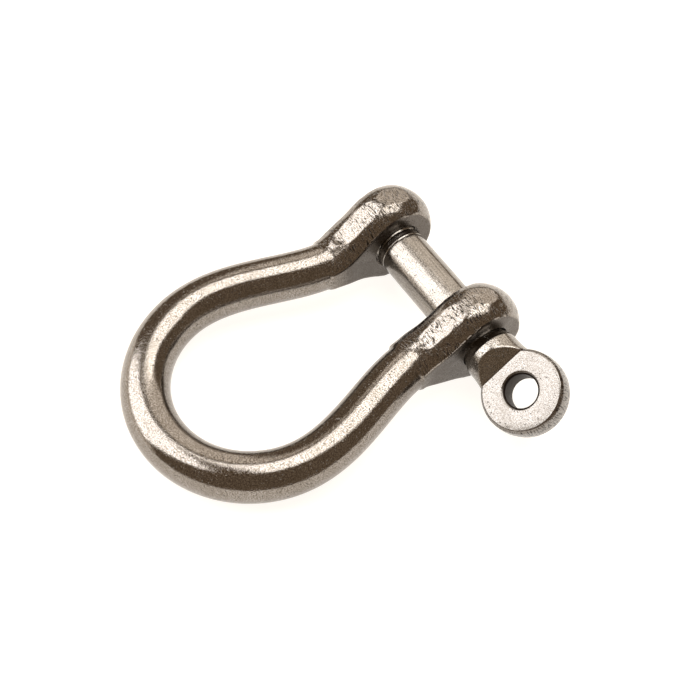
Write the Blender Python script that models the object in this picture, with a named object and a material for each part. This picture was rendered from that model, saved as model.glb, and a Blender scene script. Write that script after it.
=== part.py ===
"""An 8 mm bow shackle: a forged bow with two eyes, closed by a screw pin with an eye head.

The pin lies along X with the middle of its span at the origin. The bow's crown points to -Y,
and the bow lies in the plane Z = 0. The pin unscrews towards +X.
"""

import math

import bmesh
import bpy
from mathutils import Matrix, Vector

# Driving dimensions, in metres and degrees
PIN_DIAMETER = 0.0080
BAR_DIAMETER = 0.0078
CLEARANCE = 0.0003

EAR_OFFSET = 0.0120
EAR_RADIUS = 0.0081
EAR_THICKNESS = 0.0076
EAR_CROWN_RADIUS = 0.0053
BORE_CHAMFER = 0.0003

LIMB_START = 0.0075
LIMB_LEAN = -16.3
CROWN_RADIUS = 0.0172
CROWN_CENTRE = 0.0324
CROWN_JOIN = -17.1
UPPER_HANDLE = 0.0087
LOWER_HANDLE = 0.0115
NECK_HALF_HEIGHT = 0.0052
NECK_HALF_WIDTH = 0.0037
NECK_LENGTH = 0.0060

THREAD_DIAMETER = 0.0078
THREAD_START = -0.0072
PIN_END = -0.0159
END_CHAMFER = 0.0006

COLLAR_RADIUS = 0.0048
EYE_TURN = 30.3
EYE_CENTRE = 0.0258
EYE_RADIUS = 0.0067
EYE_THICKNESS = 0.0042
EYE_BEVEL = 0.0007
EYE_HOLE_RADIUS = 0.0026
EYE_HOLE_CHAMFER = 0.0005
RAMP_END = 0.0211
RAMP_ANGLE = 44.0

BAR_SIDES = 24
TURNED_STEPS = 48
LIMB_STATIONS = 16
CROWN_STATIONS = 26
CROWN_ARC_POINTS = 10
SHARP_ANGLE = math.radians(32)


def clear_scene():
    for item in list(bpy.data.objects):
        bpy.data.objects.remove(item, do_unlink=True)


def steel(name, colour, roughness):
    """Polished stainless steel as a Principled material."""
    material = bpy.data.materials.new(name)
    material.use_nodes = True
    shader = material.node_tree.nodes["Principled BSDF"]
    shader.inputs["Base Color"].default_value = (*colour, 1.0)
    shader.inputs["Metallic"].default_value = 1.0
    shader.inputs["Roughness"].default_value = roughness
    return material


def add_object(name, shape, material=None):
    """Turn a bmesh into a named object whose faces point out and whose round sides look smooth."""
    bmesh.ops.recalc_face_normals(shape, faces=shape.faces)
    mesh = bpy.data.meshes.new(name)
    shape.to_mesh(mesh)
    shape.free()
    mesh.shade_smooth()
    mesh.set_sharp_from_angle(angle=SHARP_ANGLE)
    item = bpy.data.objects.new(name, mesh)
    bpy.context.scene.collection.objects.link(item)
    if material:
        mesh.materials.append(material)
    return item


def combine(target, tool, operation):
    """Join a hidden tool to the target, or cut it away, with an exact Boolean."""
    tool.hide_render = True
    tool.display_type = "WIRE"
    step = target.modifiers.new(tool.name, "BOOLEAN")
    step.operation = operation
    step.solver = "EXACT"
    step.object = tool


def turned(profile, centre_x=0.0):
    """A solid turned about the X axis from a profile of (x, radius) points that ends on the axis."""
    shape = bmesh.new()
    points = [shape.verts.new((centre_x + x, 0.0, radius)) for x, radius in profile]
    edges = [shape.edges.new(pair) for pair in zip(points, points[1:])]
    bmesh.ops.spin(
        shape,
        geom=points + edges,
        cent=(0.0, 0.0, 0.0),
        axis=(1.0, 0.0, 0.0),
        angle=math.tau,
        steps=TURNED_STEPS,
        use_merge=True,
    )
    bmesh.ops.remove_doubles(shape, verts=shape.verts, dist=0.000001)
    return shape


def bezier(start, handle_a, handle_b, end, t):
    s = 1.0 - t
    return start * s**3 + handle_a * (3 * s * s * t) + handle_b * (3 * s * t * t) + end * t**3


def smooth_step(value):
    value = min(1.0, max(0.0, value))
    return value * value * (3.0 - 2.0 * value)


def limb_line():
    """The right limb's centreline, from inside its ear down to the middle of the crown."""
    lean = math.radians(LIMB_LEAN)
    join = math.radians(CROWN_JOIN)
    out_of_ear = Vector((math.sin(lean), -math.cos(lean), 0.0))
    into_crown = Vector((math.sin(join), -math.cos(join), 0.0))
    start = Vector((EAR_OFFSET, -LIMB_START, 0.0))
    crown_centre = Vector((0.0, -CROWN_CENTRE, 0.0))
    end = crown_centre + CROWN_RADIUS * Vector((math.cos(join), math.sin(join), 0.0))
    line = [Vector((EAR_OFFSET, -EAR_CROWN_RADIUS, 0.0))]
    for i in range(LIMB_STATIONS):
        t = i / LIMB_STATIONS
        line.append(bezier(start, start + UPPER_HANDLE * out_of_ear, end - LOWER_HANDLE * into_crown, end, t))
    half = CROWN_STATIONS // 2
    for i in range(half + 1):
        angle = join + (-math.pi / 2 - join) * i / half
        line.append(crown_centre + CROWN_RADIUS * Vector((math.cos(angle), math.sin(angle), 0.0)))
    return line


def bow_bar():
    """The round bar swept from ear to ear, drawn out in height where it runs into each ear."""
    right = limb_line()
    left = [Vector((-p.x, p.y, p.z)) for p in reversed(right[:-1])]
    line = right + left
    shape = bmesh.new()
    rings = []
    for i, point in enumerate(line):
        before = line[max(i - 1, 0)]
        after = line[min(i + 1, len(line) - 1)]
        along = (after - before).normalized()
        across = Vector((-along.y, along.x, 0.0))
        up = Vector((0.0, 0.0, 1.0))
        near_ear = smooth_step(1.0 + (point.y + LIMB_START) / NECK_LENGTH)
        half_width = BAR_DIAMETER / 2 + (NECK_HALF_WIDTH - BAR_DIAMETER / 2) * near_ear
        half_height = BAR_DIAMETER / 2 + (NECK_HALF_HEIGHT - BAR_DIAMETER / 2) * near_ear
        columns = (across * half_width, up * half_height, along, point)
        place = Matrix([[column[row] for column in columns] for row in range(3)] + [[0, 0, 0, 1]])
        last = i in (0, len(line) - 1)
        made = bmesh.ops.create_circle(shape, cap_ends=last, segments=BAR_SIDES, radius=1.0, matrix=place)
        rings.append(list({edge for vert in made["verts"] for edge in vert.link_edges}))
    for ring, following in zip(rings, rings[1:]):
        bmesh.ops.bridge_loops(shape, edges=ring + following)
    return shape


def ear_profile():
    """Flat side faces joined by a crowned rim, as (x, radius) points from axis to axis."""
    half = EAR_THICKNESS / 2
    rim_centre = EAR_RADIUS - EAR_CROWN_RADIUS
    edge = math.asin(half / EAR_CROWN_RADIUS)
    profile = [(-half, 0.0)]
    for i in range(CROWN_ARC_POINTS + 1):
        angle = -edge + 2 * edge * i / CROWN_ARC_POINTS
        x = EAR_CROWN_RADIUS * math.sin(angle)
        profile.append((x, rim_centre + EAR_CROWN_RADIUS * math.cos(angle)))
    profile.append((half, 0.0))
    return profile


def bore_profile(radius, length, chamfer):
    """A hole's cutter with a chamfered mouth at both faces, running past them."""
    half = length / 2
    mouth = radius + 2 * chamfer
    return [
        (-half - chamfer, 0.0),
        (-half - chamfer, mouth),
        (-half + chamfer, radius),
        (half - chamfer, radius),
        (half + chamfer, mouth),
        (half + chamfer, 0.0),
    ]


def build_bow():
    """The bow: one forging, with a plain bore in the right ear and the threaded one in the left."""
    material = steel("forged_stainless", (0.47, 0.44, 0.39), 0.24)
    bow = add_object("bow", bow_bar(), material)
    for side, name in ((1, "right"), (-1, "left")):
        ear = add_object(f"{name}_ear_form", turned(ear_profile(), side * EAR_OFFSET))
        combine(bow, ear, "UNION")
    for side, name in ((1, "right"), (-1, "left")):
        bore = bore_profile(PIN_DIAMETER / 2 + CLEARANCE, EAR_THICKNESS, BORE_CHAMFER)
        cutter = add_object(f"{name}_bore_cutter", turned(bore, side * EAR_OFFSET))
        combine(bow, cutter, "DIFFERENCE")
    return bow


def eye_plate():
    """The pin's flat eye: a bevelled disc with a chamfered hole, facing across the pin's axis."""
    half = EYE_THICKNESS / 2
    outer = [
        (-half, 0.0),
        (-half, EYE_RADIUS - EYE_BEVEL),
        (-half + EYE_BEVEL, EYE_RADIUS),
        (half - EYE_BEVEL, EYE_RADIUS),
        (half, EYE_RADIUS - EYE_BEVEL),
        (half, 0.0),
    ]
    return turned(outer), turned(bore_profile(EYE_HOLE_RADIUS, EYE_THICKNESS, EYE_HOLE_CHAMFER))


def ramp_block():
    """What stays of the round head between its two ramps: a wedge that thins down to the eye's plate."""
    half = EYE_THICKNESS / 2 - CLEARANCE / 10
    rise = math.tan(math.radians(RAMP_ANGLE))
    start = THREAD_START - COLLAR_RADIUS
    reach = half + (RAMP_END - start) * rise
    outline = [
        (start, -reach),
        (RAMP_END, -half),
        (EYE_CENTRE, -half),
        (EYE_CENTRE, half),
        (RAMP_END, half),
        (start, reach),
    ]
    shape = bmesh.new()
    corners = [shape.verts.new((x, -2 * COLLAR_RADIUS, z)) for x, z in outline]
    face = shape.faces.new(corners)
    extruded = bmesh.ops.extrude_face_region(shape, geom=[face], use_keep_orig=True)
    moved = [item for item in extruded["geom"] if isinstance(item, bmesh.types.BMVert)]
    bmesh.ops.translate(shape, verts=moved, vec=(0.0, 4 * COLLAR_RADIUS, 0.0))
    return shape


def build_pin():
    """The pin's head and plain shank, turned about X, with its flat eye across the axis."""
    material = steel("turned_stainless", (0.52, 0.49, 0.44), 0.2)
    seat = EAR_OFFSET + EAR_THICKNESS / 2 + CLEARANCE
    radius = PIN_DIAMETER / 2
    profile = [
        (THREAD_START, 0.0),
        (THREAD_START, radius),
        (seat, radius),
        (seat, COLLAR_RADIUS),
        (EYE_CENTRE - EYE_HOLE_RADIUS - 3 * EYE_HOLE_CHAMFER, COLLAR_RADIUS),
        (EYE_CENTRE - EYE_HOLE_RADIUS - 3 * EYE_HOLE_CHAMFER, 0.0),
    ]
    pin = add_object("screw_pin", turned(profile), material)
    turn = Matrix.Rotation(math.radians(EYE_TURN), 4, "X")
    wedge = add_object("ramp_form", ramp_block())
    wedge.matrix_world = turn
    combine(pin, wedge, "INTERSECT")
    plate_shape, hole_shape = eye_plate()
    across = turn @ Matrix.Translation((EYE_CENTRE, 0.0, 0.0)) @ Matrix.Rotation(math.radians(-90), 4, "Y")
    plate = add_object("eye_form", plate_shape)
    plate.matrix_world = across
    combine(pin, plate, "UNION")
    hole = add_object("eye_hole_cutter", hole_shape)
    hole.matrix_world = across
    combine(pin, hole, "DIFFERENCE")
    return pin


def build_thread():
    """The pin's threaded end, as a plain solid of the thread's outer size inside the left ear."""
    material = steel("rolled_stainless", (0.44, 0.42, 0.38), 0.3)
    radius = THREAD_DIAMETER / 2
    start = THREAD_START - CLEARANCE
    profile = [
        (PIN_END, 0.0),
        (PIN_END, radius - END_CHAMFER),
        (PIN_END + END_CHAMFER, radius),
        (start, radius),
        (start, 0.0),
    ]
    return add_object("pin_thread", turned(profile), material)


clear_scene()
build_bow()
build_pin()
build_thread()
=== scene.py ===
"""A bow shackle in polished stainless steel, lying on a pale studio floor.

The pin lies along X, the bow's crown points to -Y and the bow lies in the plane Z = 0.
"""

import math

import bmesh
import bpy
import numpy as np
from mathutils import Matrix, Vector, noise


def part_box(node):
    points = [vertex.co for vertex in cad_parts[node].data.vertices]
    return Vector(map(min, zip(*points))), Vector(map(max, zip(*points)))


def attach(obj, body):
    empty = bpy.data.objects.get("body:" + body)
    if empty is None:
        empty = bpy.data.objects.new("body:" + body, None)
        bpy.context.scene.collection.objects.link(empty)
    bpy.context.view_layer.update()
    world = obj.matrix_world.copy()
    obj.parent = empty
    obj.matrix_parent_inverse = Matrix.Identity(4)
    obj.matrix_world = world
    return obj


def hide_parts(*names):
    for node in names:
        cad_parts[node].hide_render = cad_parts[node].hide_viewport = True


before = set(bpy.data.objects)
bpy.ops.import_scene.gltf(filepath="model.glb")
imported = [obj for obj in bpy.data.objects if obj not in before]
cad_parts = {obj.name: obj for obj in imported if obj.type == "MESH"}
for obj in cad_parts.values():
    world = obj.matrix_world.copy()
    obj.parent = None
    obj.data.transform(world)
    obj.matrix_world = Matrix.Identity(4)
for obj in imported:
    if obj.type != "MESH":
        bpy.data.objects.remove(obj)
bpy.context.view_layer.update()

MM = 0.001

# ---------------------------------------------------------------------------------------------
# The view and the studio. The shackle lies on its side on a pale sheet that touches both ears and
# the thinner crown, so the sheet slopes a few degrees against the bow's own plane. The light is a
# tall softbox, a broad one overhead and two dimmer cards, in a dark warm room.
# ---------------------------------------------------------------------------------------------

BAR_RADIUS = 3.9 * MM
EAR_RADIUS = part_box("bow")[1].y
CROWN_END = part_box("bow")[0].y

CAMERA_AIM = Vector((2.95, -17.8, 0.0)) * MM
CAMERA_DISTANCE = 189.9 * MM
CAMERA_AZIMUTH = 60.5
CAMERA_ELEVATION = 57.8
CAMERA_ROLL = -4.4
CAMERA_LENS = 63.1

FLOOR_HALF = 3.0
CARD_DISTANCE = 0.9
SENSOR_WIDTH = 36.0


def srgb(code):
    """A hex colour as the linear values that a shader takes."""
    channels = [int(code[i : i + 2], 16) / 255 for i in (0, 2, 4)]
    linear = [c / 12.92 if c <= 0.04045 else ((c + 0.055) / 1.055) ** 2.4 for c in channels]
    return (*linear, 1.0)


def add_node(tree, kind, links=None, **settings):
    """Add one node with its settings, then its inputs: a socket links, any other value is set."""
    node = tree.nodes.new(kind)
    for key, value in settings.items():
        setattr(node, key, value)
    for key, value in (links or {}).items():
        if isinstance(value, bpy.types.NodeSocket):
            tree.links.new(value, node.inputs[key])
        else:
            node.inputs[key].default_value = value
    return node


def new_material(name):
    """An empty material with its output, ready for nodes."""
    material = bpy.data.materials.new(name)
    material.use_nodes = True
    material.node_tree.nodes.clear()
    return material, material.node_tree


def direction(azimuth, polar):
    """The unit vector at an angle round from +X and an angle down from straight up, in degrees."""
    a, p = math.radians(azimuth), math.radians(polar)
    return Vector((math.sin(p) * math.cos(a), math.sin(p) * math.sin(a), math.cos(p)))


camera = bpy.data.objects.new("camera", bpy.data.cameras.new("camera"))
bpy.context.scene.collection.objects.link(camera)
turn, tilt = math.radians(CAMERA_AZIMUTH), math.radians(CAMERA_ELEVATION)
back = Vector((math.sin(turn) * math.cos(tilt), -math.cos(turn) * math.cos(tilt), math.sin(tilt)))
right = Vector((math.cos(turn), math.sin(turn), 0.0))
upright = Matrix([right, back.cross(right), back]).transposed().to_4x4()
roll = Matrix.Rotation(math.radians(CAMERA_ROLL), 4, "Z")
camera.matrix_world = Matrix.Translation(CAMERA_AIM + back * CAMERA_DISTANCE) @ upright @ roll
camera.data.lens = CAMERA_LENS
camera.data.sensor_width = SENSOR_WIDTH
camera.data.clip_start = 0.01
bpy.context.scene.camera = camera
bpy.context.scene.view_settings.view_transform = "Standard"

slope = math.asin((EAR_RADIUS - BAR_RADIUS) / -(CROWN_END + BAR_RADIUS))
floor_up = Vector((0.0, math.sin(slope), math.cos(slope)))
floor_shape = bmesh.new()
bmesh.ops.create_grid(floor_shape, x_segments=1, y_segments=1, size=FLOOR_HALF)
floor_mesh = bpy.data.meshes.new("floor")
floor_shape.to_mesh(floor_mesh)
floor_shape.free()
floor_mesh.transform(Matrix.Translation(-EAR_RADIUS * floor_up) @ Matrix.Rotation(-slope, 4, "X"))
floor = bpy.data.objects.new("floor", floor_mesh)
bpy.context.scene.collection.objects.link(floor)
# Opal acrylic lit from below: an even, nearly white glow on which only faint shadows show.
opal, tree = new_material("backlit_opal_acrylic")
haze = add_node(tree, "ShaderNodeTexNoise", {"Scale": 4.0, "Detail": 3.0})
tone = add_node(
    tree,
    "ShaderNodeMix",
    {0: haze.outputs["Fac"], 6: srgb("fffaf4"), 7: srgb("fffcf8")},
    data_type="RGBA",
)
sheet = add_node(
    tree,
    "ShaderNodeBsdfPrincipled",
    {
        "Base Color": srgb("9c978f"),
        "Roughness": 0.85,
        "Emission Color": tone.outputs[2],
        "Emission Strength": 0.93,
    },
)
add_node(tree, "ShaderNodeOutputMaterial", {"Surface": sheet.outputs["BSDF"]})
floor_mesh.materials.append(opal)

world = bpy.data.worlds.new("studio")
bpy.context.scene.world = world
world.use_nodes = True
tree = world.node_tree
tree.nodes.clear()
ray = add_node(tree, "ShaderNodeLightPath")
room = add_node(tree, "ShaderNodeBackground", {"Color": srgb("867562"), "Strength": 1.3})
backdrop = add_node(tree, "ShaderNodeBackground", {"Color": srgb("f6f5f3"), "Strength": 1.0})
seen = add_node(
    tree,
    "ShaderNodeMixShader",
    {0: ray.outputs["Is Camera Ray"], 1: room.outputs[0], 2: backdrop.outputs[0]},
)
add_node(tree, "ShaderNodeOutputWorld", {"Surface": seen.outputs[0]})


def softbox(name, azimuth, polar, width, height, radiance, colour, spin=0.0):
    """A rectangular soft light that faces the origin, sized by the angle it fills, in degrees."""
    lamp = bpy.data.lights.new(name, "AREA")
    lamp.shape = "RECTANGLE"
    lamp.size = 2 * CARD_DISTANCE * math.tan(math.radians(width / 2))
    lamp.size_y = 2 * CARD_DISTANCE * math.tan(math.radians(height / 2))
    lamp.energy = radiance * math.pi * lamp.size * lamp.size_y
    lamp.color = srgb(colour)[:3]
    item = bpy.data.objects.new(name, lamp)
    bpy.context.scene.collection.objects.link(item)
    way = direction(azimuth, polar)
    item.rotation_mode = "QUATERNION"
    aim = way.to_track_quat("Z", "Y")
    item.rotation_quaternion = aim @ Matrix.Rotation(math.radians(spin), 3, "Z").to_quaternion()
    item.location = way * CARD_DISTANCE
    item.visible_camera = False


softbox("tall_softbox", 224, 47, 46, 52, 4.2, "ffffff")
softbox("top_softbox", 94, 19, 42, 50, 4.2, "fffefb", spin=-24)
softbox("back_card", 130, 57, 50, 50, 1.3, "fff8ee")
softbox("low_card", 225, 84, 56, 18, 1.2, "fff8ee")

# ---------------------------------------------------------------------------------------------
# The bow: one round bar of stainless steel, forged into an ear at each end, bent over a former and
# tumbled bright. The die leaves each ear with a crowned rim, flat sides and a flared neck that
# stops at a small trim step. One ear is bored plain and the other is tapped for the pin.
# ---------------------------------------------------------------------------------------------

EAR_HALF = 3.8 * MM
EAR_OFFSET = 12.0 * MM
EAR_CROWN = 5.5 * MM
NECK_FILLET = 13.0 * MM
NECK_CROWN = 4.6 * MM
NECK_HALF = 3.95 * MM
TRIM_END = -12.35 * MM
TRIM_STEP = 0.2 * MM
TRIM_BOW = 0.35 * MM
BAND_PROUD = 0.22 * MM
BAND_EDGE = 0.03 * MM
EDGE_SOFTNESS = 0.14 * MM

# Runs along the bar from the pin's axis, towards the crown where negative: (first end, last end)
CROWN_TAPER = (-5.0 * MM, -12.5 * MM)
SIDE_TAPER = (-4.5 * MM, -11.5 * MM)
BAND_START = (-12.0 * MM, -9.0 * MM)
BAND_STOP = (7.0 * MM, 3.0 * MM)
DENT_START = (-16.0 * MM, -9.0 * MM)
# Waves in the worked surface: (height, length)
RAGGED = (0.07 * MM, 1.0 * MM)
RAGGED_LONG = (0.05 * MM, 2.4 * MM)
EAR_DENTS = (0.05 * MM, 3.2 * MM)
EAR_PEENING = (0.024 * MM, 1.2 * MM)
BAR_WAVES = (0.02 * MM, 8.0 * MM)

LIMB_TOP = 7.5 * MM
LIMB_LEAN = math.radians(-16.3)
CROWN_RADIUS = 17.2 * MM
CROWN_JOIN = math.radians(-17.1)
UPPER_HANDLE = 8.7 * MM
LOWER_HANDLE = 11.5 * MM

BAR_SIDES = 128
CURVE_POINTS = 80
STATION_GAP = 0.35 * MM
BEND_PASSES = 30

PITCH = 1.25 * MM
TAPPED_MAJOR = 4.25 * MM
TAPPED_MINOR = 3.65 * MM
ROOT_FLAT = 0.12
PLAIN_BORE = 4.1 * MM
MOUTH_CHAMFER = 0.12 * MM
THREAD_SIDES = 128
THREAD_RINGS = 12
SHARP = math.radians(30)

# The steel's patterns, each by the length of its waves along X, Y and Z
GRAIN = (0.17 * MM,) * 3
PIT = (0.3 * MM,) * 3
TUMBLE_DENT = (1.1 * MM,) * 3
WORN_PATCH = (2.2 * MM,) * 3
HAZE = (3.0 * MM,) * 3
GRINDING_SCORE = (0.9 * MM, 0.14 * MM, 0.9 * MM)
EAR_MARKS = (-14.0 * MM, -10.0 * MM)
SIDE_FACING = (0.93, 0.98)
CLOUD_SHARE = 0.25
FLAW_SHARE = 0.9
# How far the ears' flat sides are roughened and darkened with a painted reflection of shade
SIDE_DULLNESS_AND_SHADE = 0.6
DULL_ROUGHNESS = 0.35


def smooth_step(low, high, value):
    """0 below the low value, 1 above the high one and a soft S between them."""
    t = np.clip((value - low) / (high - low), 0.0, 1.0)
    return t * t * (3.0 - 2.0 * t)


def smooth_max(a, b, softness):
    """The larger of two distances, with the corner between them rounded."""
    return np.maximum(a, b) + np.maximum(softness - np.abs(a - b), 0.0) ** 2 / (4.0 * softness)


def press(inside, reach, count=30):
    """How far out each ray goes before it leaves a form, found by halving the reach."""
    low, high = np.zeros_like(reach), reach.copy()
    for _ in range(count):
        middle = (low + high) / 2
        is_in = inside(middle)
        low, high = np.where(is_in, middle, low), np.where(is_in, high, middle)
    return (low + high) / 2


def ripple(points, wave, seed):
    """Smooth random waves of one real height and length over some points."""
    height, size = wave
    shift = Vector((seed * 7.1, seed * 3.3, seed * 5.7))
    return height * np.array([noise.noise(Vector(p) / size + shift) for p in points])


def finish_mesh(name, shape, material):
    """Turn a bmesh into a smooth shaded piece with sharp creases, and give it its steel."""
    bmesh.ops.recalc_face_normals(shape, faces=shape.faces)
    mesh = bpy.data.meshes.new(name)
    shape.to_mesh(mesh)
    shape.free()
    mesh.shade_smooth()
    mesh.set_sharp_from_angle(angle=SHARP)
    item = bpy.data.objects.new(name, mesh)
    bpy.context.scene.collection.objects.link(item)
    if material:
        mesh.materials.append(material)
    return item


def combine(target, tool, operation):
    """Join a tool to a piece or cut it away for good, and drop the tool."""
    step = target.modifiers.new(tool.name, "BOOLEAN")
    step.operation = operation
    step.solver = "EXACT"
    step.object = tool
    bpy.context.view_layer.update()
    depsgraph = bpy.context.evaluated_depsgraph_get()
    made = bpy.data.meshes.new_from_object(target.evaluated_get(depsgraph))
    target.modifiers.remove(step)
    target.data = made
    made.shade_smooth()
    made.set_sharp_from_angle(angle=SHARP)
    bpy.data.objects.remove(tool)


def centre_line():
    """The bar's centre line as (x, y) rows from one ear's tip to the other's, evenly spaced."""
    start = np.array((EAR_OFFSET, -LIMB_TOP))
    crown = np.array((0.0, CROWN_END + BAR_RADIUS + CROWN_RADIUS))
    end = crown + CROWN_RADIUS * np.array((math.cos(CROWN_JOIN), math.sin(CROWN_JOIN)))
    upper = start + UPPER_HANDLE * np.array((math.sin(LIMB_LEAN), -math.cos(LIMB_LEAN)))
    lower = end - LOWER_HANDLE * np.array((math.sin(CROWN_JOIN), -math.cos(CROWN_JOIN)))
    t = np.linspace(0.0, 1.0, CURVE_POINTS)[:, None]
    s = 1.0 - t
    limb = start * s**3 + upper * 3 * t * s**2 + lower * 3 * t * t * s + end * t**3
    angle = np.linspace(CROWN_JOIN, -math.pi / 2, CURVE_POINTS)[1:, None]
    arc = crown + CROWN_RADIUS * np.hstack((np.cos(angle), np.sin(angle)))
    half = np.vstack(((EAR_OFFSET, EAR_RADIUS), limb, arc))
    line = np.vstack((half, half[-2::-1] * (-1.0, 1.0)))
    length = np.concatenate(((0.0,), np.cumsum(np.hypot(*np.diff(line, axis=0).T))))
    even = np.linspace(0.0, length[-1], round(length[-1] / STATION_GAP))
    line = np.column_stack([np.interp(even, length, line[:, k]) for k in (0, 1)])
    for _ in range(BEND_PASSES):
        line[1:-1] = (line[:-2] + 2 * line[1:-1] + line[2:]) / 4
    return line


def neck_distance(along, height):
    """How far a point of the side view stands outside the ear's round and its concave neck."""
    fillet_up = BAR_RADIUS + NECK_FILLET
    fillet_along = -math.sqrt((EAR_RADIUS + NECK_FILLET) ** 2 - fillet_up**2)
    ear = np.hypot(along, height) - EAR_RADIUS
    neck = NECK_FILLET - np.hypot(along - fillet_along, height - fillet_up)
    bar = height - BAR_RADIUS
    in_neck = along * fillet_up < height * fillet_along
    return np.where(along < fillet_along, bar, np.where(in_neck, neck, ear))


def bow_form():
    """The bow before its bores: rings swept along the centre line and pressed to the die's form."""
    line = centre_line()
    length = np.concatenate(((0.0,), np.cumsum(np.hypot(*np.diff(line, axis=0).T))))
    tip = EAR_RADIUS * (1 - np.cos(np.radians(np.arange(2.0, 46.0, 2.0))))
    plain = length[(length > tip[-1] + STATION_GAP) & (length < length[-1] - tip[-1] - STATION_GAP)]
    stations = np.concatenate((tip, plain, length[-1] - tip[::-1]))
    centre = np.column_stack([np.interp(stations, length, line[:, k]) for k in (0, 1)])
    heading = np.gradient(centre, stations, axis=0)
    heading /= np.hypot(*heading.T)[:, None]
    outward = np.column_stack((-heading[:, 1], heading[:, 0]))

    shape = bmesh.new()
    places = []
    for (x, y), (ox, oy), (hx, hy) in zip(centre, outward, heading):
        places.append(Matrix(((ox, 0, hx, x), (oy, 0, hy, y), (0, 1, 0, 0), (0, 0, 0, 1))))
    ring = bmesh.ops.create_circle(shape, segments=BAR_SIDES, radius=MM, matrix=places[0])["verts"]
    edges = list(shape.edges)
    for before, after in zip(places, places[1:]):
        made = bmesh.ops.extrude_edge_only(shape, edges=edges)["geom"]
        ring = [item for item in made if isinstance(item, bmesh.types.BMVert)]
        edges = [item for item in made if isinstance(item, bmesh.types.BMEdge)]
        bmesh.ops.transform(shape, matrix=after @ before.inverted(), verts=ring)

    shape.verts.ensure_lookup_table()
    points = np.array([v.co for v in shape.verts])
    index = np.arange(len(points)) // BAR_SIDES
    offset = points - np.column_stack((centre, np.zeros(len(centre))))[index]
    across = (offset[:, :2] * outward[index]).sum(axis=1) / MM
    height = offset[:, 2] / MM
    along = EAR_RADIUS - np.minimum(stations, length[-1] - stations)[index]

    ledge = TRIM_END + TRIM_BOW * height
    forged = smooth_step(ledge - TRIM_STEP, ledge, along)
    crown = EAR_CROWN + (NECK_CROWN - EAR_CROWN) * smooth_step(*CROWN_TAPER, along)
    crown = BAR_RADIUS + (crown - BAR_RADIUS) * forged
    side = EAR_HALF + (NECK_HALF - EAR_HALF) * smooth_step(*SIDE_TAPER, along)

    ground = smooth_step(*BAND_START, along) * smooth_step(*BAND_STOP, along)
    ragged = np.zeros(len(points))

    def inside(reach):
        """Whether the bow's form holds the point at that reach on each ray."""
        distance = neck_distance(along, np.abs(height) * reach)
        swollen = np.maximum(crown + distance - BAND_PROUD * ground, 0.0)
        rim = np.hypot(across * reach, swollen) - crown
        body = smooth_max(rim, np.abs(across) * reach - side, EDGE_SOFTNESS)
        band = distance + ragged - (1.0 - ground) * MM
        return smooth_max(body, band, BAND_EDGE) < 0

    far = np.full(len(points), 1.3 * EAR_RADIUS)
    surface = points + offset * (press(inside, far) / MM - 1.0)[:, None]
    ragged = ripple(surface, RAGGED, 5) + ripple(surface, RAGGED_LONG, 6)
    reach = press(inside, far)
    surface = points + offset * (reach / MM - 1.0)[:, None]
    near_ear = smooth_step(*DENT_START, along)
    reach += near_ear * (ripple(surface, EAR_DENTS, 1) + ripple(surface, EAR_PEENING, 2))
    reach += (1.0 - near_ear) * ripple(surface, BAR_WAVES, 3)
    surface = points + offset * (reach / MM - 1.0)[:, None]
    for vert, place in zip(shape.verts, surface):
        vert.co = place
    rims = [edge for edge in shape.edges if edge.is_boundary]
    caps = bmesh.ops.holes_fill(shape, edges=rims, sides=0)["faces"]
    bmesh.ops.poke(shape, faces=caps)
    return shape


def thread_radius(x, angle, major, minor):
    """A right-hand thread's radius at a place along and round the pin: crests, flanks and roots."""
    phase = (x / PITCH - angle / math.tau) % 1.0
    flank = np.abs(phase - 0.5) * 2.0
    return minor + (major - minor) * smooth_step(ROOT_FLAT, 1.0 - ROOT_FLAT, flank)


def lathe(stations, radius, sides):
    """Rings about the X axis at some stations, whose radius follows a rule of place and angle."""
    shape = bmesh.new()
    turned = Matrix.Rotation(math.pi / 2, 4, "Y")
    bmesh.ops.create_circle(
        shape, segments=sides, radius=MM, matrix=Matrix.Translation((stations[0], 0.0, 0.0)) @ turned
    )
    edges = list(shape.edges)
    for before, after in zip(stations, stations[1:]):
        made = bmesh.ops.extrude_edge_only(shape, edges=edges)["geom"]
        ring = [item for item in made if isinstance(item, bmesh.types.BMVert)]
        edges = [item for item in made if isinstance(item, bmesh.types.BMEdge)]
        bmesh.ops.translate(shape, verts=ring, vec=(after - before, 0.0, 0.0))
    points = np.array([v.co for v in shape.verts])
    reach = radius(points[:, 0], np.arctan2(points[:, 2], points[:, 1])) / MM
    for vert, scale in zip(shape.verts, reach):
        vert.co.y *= scale
        vert.co.z *= scale
    rims = [edge for edge in shape.edges if edge.is_boundary]
    caps = bmesh.ops.holes_fill(shape, edges=rims, sides=0)["faces"]
    bmesh.ops.poke(shape, faces=caps)
    return shape


def bore_cutter(centre_x, plain):
    """The tool for one ear's hole: a plain drill or a tap, with a countersink at both mouths."""

    def radius(x, angle):
        """The hole's wall, or the countersink where that is wider."""
        if plain:
            hole = np.full(len(x), PLAIN_BORE)
            widest = PLAIN_BORE
        else:
            hole = thread_radius(x, angle, TAPPED_MAJOR, TAPPED_MINOR)
            widest = TAPPED_MAJOR
        return np.maximum(hole, widest + MOUTH_CHAMFER - (EAR_HALF - np.abs(x - centre_x)))

    gap = PITCH / THREAD_RINGS
    reach = EAR_HALF + gap * 3
    stations = centre_x + np.linspace(-reach, reach, round(2 * reach / gap))
    return lathe(stations, radius, THREAD_SIDES)


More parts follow.
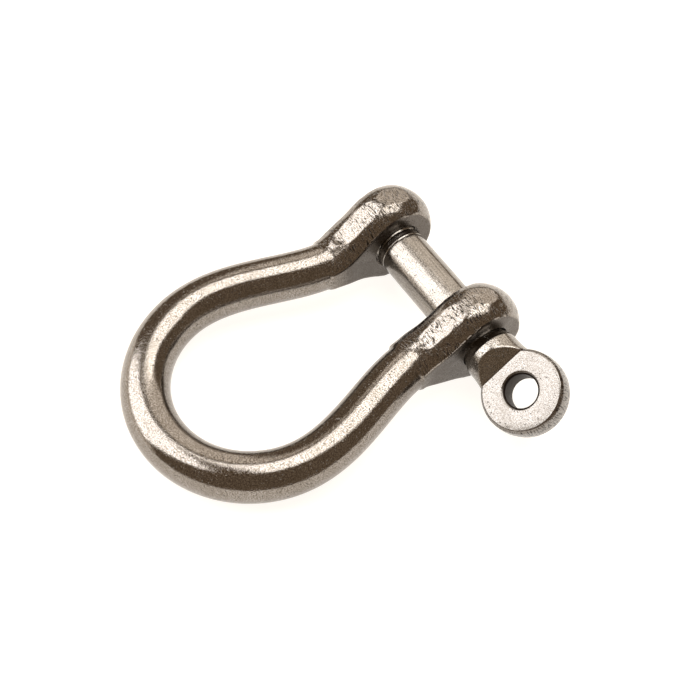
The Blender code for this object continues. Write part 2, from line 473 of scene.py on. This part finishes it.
def pattern(tree, place, size, detail, low, high, peak=1.0):
    """Noise of one real size, spread from 0 to a peak between two of its levels."""
    scaled = add_node(tree, "ShaderNodeVectorMath", {0: place, 1: size}, operation="DIVIDE")
    field = add_node(
        tree, "ShaderNodeTexNoise", {"Vector": scaled.outputs[0], "Scale": 1.0, "Detail": detail}
    )
    level = {"Value": field.outputs["Fac"], "From Min": low, "From Max": high, "To Max": peak}
    return add_node(tree, "ShaderNodeMapRange", level, interpolation_type="SMOOTHSTEP").outputs[0]


def finish_steel(tree, place, grain, marks, dullness_and_painted_shade, tint, shade, roughness):
    """Bright worked stainless steel from its grain, its tool marks and the places left dull and painted
    dark as shade.
    """
    dents = pattern(tree, place, TUMBLE_DENT, 1.0, 0.2, 0.8)
    cloud = pattern(tree, place, HAZE, 3.0, 0.3, 0.7, CLOUD_SHARE)
    pitted_patch = pattern(tree, place, WORN_PATCH, 2.0, 0.3, 0.6)
    pits = pattern(tree, place, PIT, 1.0, 0.66, 0.74, pitted_patch)
    flaws = add_node(tree, "ShaderNodeMath", {0: pits, 1: marks}, operation="MAXIMUM").outputs[0]
    dark = add_node(tree, "ShaderNodeMath", {0: flaws, 1: FLAW_SHARE}, operation="MULTIPLY").outputs[0]
    speckle = add_node(tree, "ShaderNodeMix", {0: grain, 6: shade, 7: tint}, data_type="RGBA")
    clouded = add_node(
        tree, "ShaderNodeMix", {0: cloud, 6: speckle.outputs[2], 7: shade}, data_type="RGBA"
    )
    pitted = add_node(
        tree, "ShaderNodeMix", {0: dark, 6: clouded.outputs[2], 7: srgb("1e1813")}, data_type="RGBA"
    )
    # Painted shade: where the dull mask is up, the colour is darkened towards a near-black brown as well
    # as roughened.
    colour = add_node(
        tree, "ShaderNodeMix", {0: dullness_and_painted_shade, 6: pitted.outputs[2], 7: srgb("2a231d")}, data_type="RGBA"
    )
    gloss = add_node(
        tree,
        "ShaderNodeMapRange",
        {
            "Value": cloud,
            "From Max": CLOUD_SHARE,
            "To Min": roughness - 0.03,
            "To Max": roughness + 0.05,
        },
    )
    rough = add_node(
        tree,
        "ShaderNodeMath",
        {0: dullness_and_painted_shade, 1: DULL_ROUGHNESS, 2: gloss.outputs[0]},
        operation="MULTIPLY_ADD",
    )
    dented = add_node(tree, "ShaderNodeBump", {"Height": dents, "Distance": 0.008 * MM})
    grained = add_node(
        tree, "ShaderNodeBump", {"Height": grain, "Distance": 0.004 * MM, "Normal": dented.outputs[0]}
    )
    scored = add_node(
        tree,
        "ShaderNodeBump",
        {"Height": flaws, "Distance": 0.03 * MM, "Normal": grained.outputs[0]},
        invert=True,
    )
    metal = add_node(
        tree,
        "ShaderNodeBsdfPrincipled",
        {
            "Base Color": colour.outputs[2],
            "Metallic": 1.0,
            "Roughness": rough.outputs[0],
            "Normal": scored.outputs[0],
        },
    )
    add_node(tree, "ShaderNodeOutputMaterial", {"Surface": metal.outputs["BSDF"]})


# Tumbled stainless steel: smooth and bright with a fine sandy grain, since the stones round off the
# forging scale. Short scores cross the ears' rims, where the trimmed flash was ground back. The flat
# sides are rougher, since the stones reach them least, and their colour is darkened as a painted
# reflection of the shaded floor beside them.
bow_steel, tree = new_material("tumbled_forged_stainless")
surface = add_node(tree, "ShaderNodeTexCoord")
place = surface.outputs["Object"]
axes = add_node(tree, "ShaderNodeSeparateXYZ", {0: place})
facing = add_node(tree, "ShaderNodeSeparateXYZ", {0: surface.outputs["Normal"]})
sideways = add_node(tree, "ShaderNodeMath", {0: facing.outputs["X"]}, operation="ABSOLUTE")
ear_run = {"Value": axes.outputs["Y"], "From Min": EAR_MARKS[0], "From Max": EAR_MARKS[1]}
in_ear = add_node(tree, "ShaderNodeMapRange", ear_run)
side_dullness_and_shade = add_node(tree, "ShaderNodeMapRange", {**ear_run, "To Max": SIDE_DULLNESS_AND_SHADE})
side_turn = {"Value": sideways.outputs[0], "From Min": SIDE_FACING[0], "From Max": SIDE_FACING[1]}
# Painted shade: the ears' sideways-facing flat sides are darkened as a painted reflection of the shaded
# floor beside them, as well as made rougher.
dullness_and_painted_shade = add_node(tree, "ShaderNodeMapRange", {**side_turn, "To Max": side_dullness_and_shade.outputs[0]})
rim = add_node(tree, "ShaderNodeMapRange", {**side_turn, "To Min": in_ear.outputs[0], "To Max": 0.0})
scored_patch = pattern(tree, place, WORN_PATCH, 1.0, 0.4, 0.5, rim.outputs[0])
finish_steel(
    tree,
    place,
    grain=pattern(tree, place, GRAIN, 2.0, 0.32, 0.68),
    marks=pattern(tree, place, GRINDING_SCORE, 0.0, 0.6, 0.68, scored_patch),
    dullness_and_painted_shade=dullness_and_painted_shade.outputs[0],
    tint=srgb("9e9995"),
    shade=srgb("6c645a"),
    roughness=0.06,
)
bow = finish_mesh("forged_bow", bow_form(), bow_steel)
for side, plain in ((1, True), (-1, False)):
    combine(bow, finish_mesh("drill", bore_cutter(side * EAR_OFFSET, plain), None), "DIFFERENCE")
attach(bow, "bow")
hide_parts("bow")

# ---------------------------------------------------------------------------------------------
# The pin: one piece of stainless steel. Its shank is turned, its end has a right-hand thread, and
# its round head is pressed by two ramps into a flat eye that takes a spike or a lashing wire. The
# head's flared neck seats in the plain ear's bore, and the thread fills the tapped one.
# ---------------------------------------------------------------------------------------------

PIN_RADIUS = 4.0 * MM
PIN_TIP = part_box("pin_thread")[0].x
THREAD_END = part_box("screw_pin")[0].x
THREAD_MAJOR = 3.9 * MM
THREAD_MINOR = 3.3 * MM
THREAD_RUN_OUT = 1.5 * MM
TIP_CHAMFER = 0.2 * MM
SHANK_CHAMFER = 0.25 * MM
RING_GROOVE = THREAD_END + 0.5 * MM
GROOVE_DEPTH = 0.06 * MM
GROOVE_WIDTH = 0.09 * MM

SEAT = EAR_OFFSET + EAR_HALF + 0.06 * MM
STEP_GAP = 0.01 * MM
SHANK_GAP = 0.5 * MM
HEAD_GAP = 0.1 * MM
NECK_END = 17.3 * MM
HEAD_RADIUS = 4.5 * MM
HEAD_FLARE = 4.85 * MM
FLARE_START = 18.3 * MM
HEAD_END = 22.5 * MM

EYE_RADIUS = 6.7 * MM
EYE_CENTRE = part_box("screw_pin")[1].x - EYE_RADIUS
EYE_HALF = 2.1 * MM
EYE_TURN = math.radians(30.3)
EYE_HOLE = 2.6 * MM
HOLE_CHAMFER = 0.4 * MM
EYE_BEVEL = 0.5 * MM
EYE_EDGE = 0.15 * MM
EYE_CORNER = math.radians(25)
RAMP_END = 21.1 * MM
RAMP_SLOPE = math.radians(44.0)
RAMP_EDGE = 0.3 * MM

TURNED_STREAK = (4.0 * MM, 0.2 * MM, 0.2 * MM)
TRIM_SCORE = (0.25 * MM, 1.5 * MM, 1.0 * MM)
STREAK_SHARE = 0.35


def turned_radius(x, angle):
    """The thread and its ends, the ring groove, the shank, the flared neck and the round head."""
    thread = thread_radius(x, angle, THREAD_MAJOR, THREAD_MINOR)
    thread = np.minimum(thread, THREAD_MINOR - TIP_CHAMFER + (x - PIN_TIP))
    fade = smooth_step(THREAD_END - THREAD_RUN_OUT, THREAD_END - THREAD_RUN_OUT / 3, x)
    thread = thread + (THREAD_MAJOR - thread) * fade
    shank = PIN_RADIUS - np.maximum(SHANK_CHAMFER - (x - THREAD_END), 0.0)
    shank = shank - GROOVE_DEPTH * np.exp(-(((x - RING_GROOVE) / GROOVE_WIDTH) ** 2))
    head = PIN_RADIUS + (HEAD_RADIUS - PIN_RADIUS) * smooth_step(SEAT, NECK_END, x)
    head = head + (HEAD_FLARE - HEAD_RADIUS) * smooth_step(FLARE_START, HEAD_END, x)
    return np.where(x < THREAD_END, thread, np.where(x < SEAT, shank, head))


def pressed_radius(x, angle):
    """The turned form with its head pressed flat by two ramps that face the eye's two sides."""
    turned = turned_radius(x, angle)
    across = np.abs(np.sin(angle - EYE_TURN))
    ramp = EYE_HALF + (RAMP_END - x) * math.tan(RAMP_SLOPE)

    def inside(reach):
        """Whether the pressed head holds the point at that reach on each ray."""
        over_ramp = (reach * across - ramp) * math.cos(RAMP_SLOPE)
        return smooth_max(reach - turned, over_ramp, RAMP_EDGE) < 0

    return np.where(x < SEAT, turned, press(inside, np.full(len(x), 1.2 * HEAD_FLARE)))


def pin_stations():
    """Where the pin's rings stand: close together in the thread and the head, sparse on the shank."""
    thread = np.arange(PIN_TIP, THREAD_END - STEP_GAP, PITCH / THREAD_RINGS)
    shoulder = THREAD_END + np.array((-STEP_GAP, 0.0, SHANK_CHAMFER))
    groove = RING_GROOVE + GROOVE_WIDTH * np.linspace(-2.0, 2.0, 9)
    shank = np.linspace(groove[-1] + SHANK_GAP, SEAT - STEP_GAP, 40)
    head = np.arange(SEAT, HEAD_END, HEAD_GAP)
    return np.concatenate((thread, shoulder, groove, shank, head))


def eye_plate():
    """The flat eye: a turned ring with a chamfered hole and a crowned rim, faced across the pin."""
    half = [
        (EYE_HOLE, EYE_HALF - HOLE_CHAMFER),
        (EYE_HOLE + HOLE_CHAMFER, EYE_HALF),
        (EYE_RADIUS - EYE_BEVEL, EYE_HALF),
        (EYE_RADIUS - EYE_BEVEL / 4, EYE_HALF - EYE_BEVEL),
        (EYE_RADIUS, 0.0),
    ]
    outline = half + [(r, -z) for r, z in reversed(half[:-1])]
    shape = bmesh.new()
    points = [shape.verts.new((r, 0.0, z)) for r, z in outline]
    edges = [shape.edges.new((a, b)) for a, b in zip(points, points[1:] + points[:1])]
    bmesh.ops.spin(
        shape,
        geom=points + edges,
        cent=(0.0, 0.0, 0.0),
        axis=(0.0, 0.0, 1.0),
        angle=math.tau,
        steps=THREAD_SIDES,
        use_merge=True,
    )
    bmesh.ops.remove_doubles(shape, verts=shape.verts, dist=0.001 * MM)
    bmesh.ops.recalc_face_normals(shape, faces=shape.faces)
    rings = [edge for edge in shape.edges if edge.calc_face_angle(0.0) > EYE_CORNER]
    bmesh.ops.bevel(
        shape, geom=rings, offset=EYE_EDGE, segments=3, profile=0.5, affect="EDGES", material=-1
    )
    across = Matrix.Rotation(EYE_TURN, 4, "X") @ Matrix.Translation((EYE_CENTRE, 0.0, 0.0))
    bmesh.ops.transform(shape, matrix=across, verts=shape.verts)
    return shape


# Turned and polished stainless steel: faint streaks run along the shank, the eye's faces are paler
# and evenly speckled, its rim keeps short cross scores from trimming, and its drilled hole is rougher
# and painted dark as the shade in that recess.
pin_steel, tree = new_material("turned_polished_stainless")
place = add_node(tree, "ShaderNodeTexCoord").outputs["Object"]
axes = add_node(tree, "ShaderNodeSeparateXYZ", {0: place})
eye_place = add_node(
    tree,
    "ShaderNodeMapping",
    {"Vector": place, "Location": (-EYE_CENTRE, 0.0, 0.0), "Rotation": (-EYE_TURN, 0.0, 0.0)},
)
eye_axes = add_node(tree, "ShaderNodeSeparateXYZ", {0: eye_place.outputs[0]})
from_hole = add_node(
    tree, "ShaderNodeCombineXYZ", {"X": eye_axes.outputs["X"], "Y": eye_axes.outputs["Y"]}
)
radius = add_node(tree, "ShaderNodeVectorMath", {0: from_hole.outputs[0]}, operation="LENGTH")
bearing = add_node(
    tree, "ShaderNodeMath", {0: eye_axes.outputs["Y"], 1: eye_axes.outputs["X"]}, operation="ARCTAN2"
)
round_eye = add_node(
    tree, "ShaderNodeMath", {0: bearing.outputs[0], 1: EYE_RADIUS}, operation="MULTIPLY"
)
on_rim = add_node(
    tree, "ShaderNodeCombineXYZ", {"X": round_eye.outputs[0], "Y": eye_axes.outputs["Z"]}
)
in_eye = add_node(
    tree,
    "ShaderNodeMapRange",
    {"Value": axes.outputs["X"], "From Min": RAMP_END - RAMP_EDGE, "From Max": RAMP_END},
)
rim = add_node(
    tree,
    "ShaderNodeMapRange",
    {
        "Value": radius.outputs["Value"],
        "From Min": EYE_RADIUS - EYE_BEVEL,
        "From Max": EYE_RADIUS - EYE_BEVEL / 2,
        "To Max": in_eye.outputs[0],
    },
)
# Painted shade: the eye's drilled hole and its chamfer are darkened as the shade inside the recess, as
# well as made rougher.
hole = add_node(
    tree,
    "ShaderNodeMapRange",
    {
        "Value": radius.outputs["Value"],
        "From Min": EYE_HOLE + HOLE_CHAMFER,
        "From Max": EYE_HOLE + HOLE_CHAMFER / 2,
    },
)
on_shank = add_node(tree, "ShaderNodeMath", {0: axes.outputs["X"], 1: SEAT}, operation="LESS_THAN")
streak_share = add_node(
    tree, "ShaderNodeMath", {0: on_shank.outputs[0], 1: STREAK_SHARE}, operation="MULTIPLY"
)
streaked = add_node(
    tree,
    "ShaderNodeMix",
    {
        0: streak_share.outputs[0],
        2: pattern(tree, place, GRAIN, 2.0, 0.32, 0.68),
        3: pattern(tree, place, TURNED_STREAK, 2.0, 0.3, 0.7),
    },
)
paler_eye = add_node(
    tree, "ShaderNodeMix", {0: in_eye.outputs[0], 6: srgb("a8a39d"), 7: srgb("918e8c")}, data_type="RGBA"
)
finish_steel(
    tree,
    place,
    grain=streaked.outputs[0],
    marks=pattern(tree, on_rim.outputs[0], TRIM_SCORE, 1.0, 0.5, 0.6, rim.outputs[0]),
    dullness_and_painted_shade=hole.outputs[0],
    tint=paler_eye.outputs[2],
    shade=srgb("6f6962"),
    roughness=0.17,
)
pin = finish_mesh("eye_pin", lathe(pin_stations(), pressed_radius, THREAD_SIDES), pin_steel)
combine(pin, finish_mesh("eye", eye_plate(), pin_steel), "UNION")
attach(pin, "pin")
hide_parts("screw_pin", "pin_thread")
